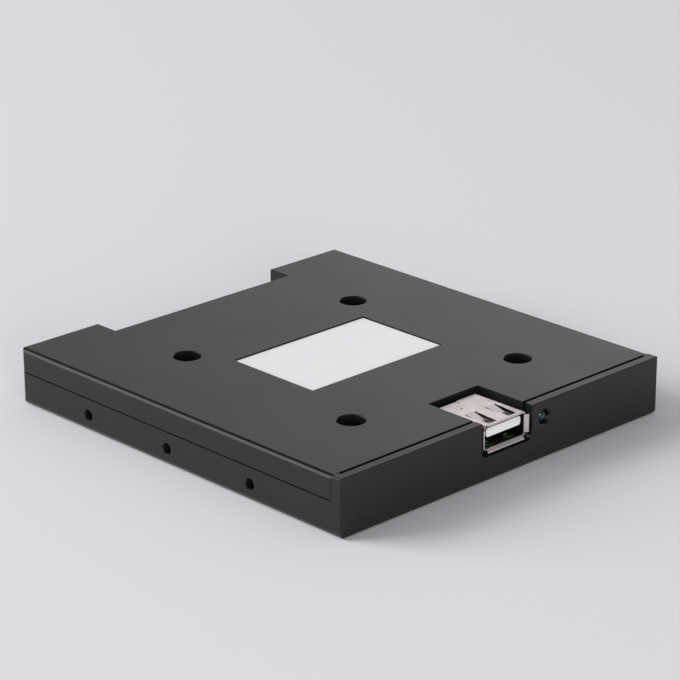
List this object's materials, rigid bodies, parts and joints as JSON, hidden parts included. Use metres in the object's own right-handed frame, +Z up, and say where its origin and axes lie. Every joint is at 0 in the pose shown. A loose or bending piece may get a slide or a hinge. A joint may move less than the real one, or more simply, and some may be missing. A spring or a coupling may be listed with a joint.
{
  "type": "floppy drive emulator",
  "caption": "Slim black drive emulator: flat two-shell case with a USB socket and lamp in front, side screw holes, and a latched flat-cable socket in a rear recess.",
  "frame": {"origin": "middle of the underside, where the part stands", "axes": "+Z up; -Y towards the front face with the USB socket; +X to the right as seen from the front"},
  "size_m": [0.1016, 0.107, 0.014],
  "materials": {
    "case_plastic": "fine sanded grain",
    "label_paper": "plain satin label film",
    "screw_steel": "plated steel",
    "board_laminate": "green solder mask",
    "shield_metal": "bright tinned sheet",
    "white_plastic": "moulded",
    "contact_gilt": "gilt",
    "lamp_resin": "clear tinted resin",
    "tinned_metal": "tinned",
    "socket_plastic": "moulded",
    "latch_plastic": "moulded",
    "chip_resin": "moulded",
    "can_metal": "drawn can",
    "amber_resin": "moulded",
    "tan_ceramic": "fired"
  },
  "bodies": {
    "case": {"bottom_case": "case_plastic", "top_cover": "case_plastic", "label": "label_paper", "case_screws": "screw_steel", "circuit_board": "board_laminate", "usb_shield": "shield_metal", "usb_insulator": "white_plastic", "usb_contacts": "contact_gilt", "status_lamp": "lamp_resin", "lamp_leads": "tinned_metal", "cable_socket": "socket_plastic", "cable_contacts": "contact_gilt", "cable_anchors": "tinned_metal", "microcontroller": "chip_resin", "microcontroller_leads": "tinned_metal", "memory_chip": "chip_resin", "memory_leads": "tinned_metal", "buffer_chips": "chip_resin", "buffer_leads": "tinned_metal", "crystal": "can_metal", "crystal_leads": "tinned_metal", "voltage_regulator": "chip_resin", "regulator_leads": "tinned_metal", "bulk_capacitors": "amber_resin", "chip_capacitors": "tan_ceramic", "chip_resistors": "chip_resin", "chip_terminals": "tinned_metal"},
    "latch": {"cable_latch": "latch_plastic"}
  },
  "joints": [
    {"name": "latch_slide", "type": "slide", "parent": "case", "child": "latch", "axis": [0, 1, 0], "range_m": [0, 0.0012]}
  ]
}
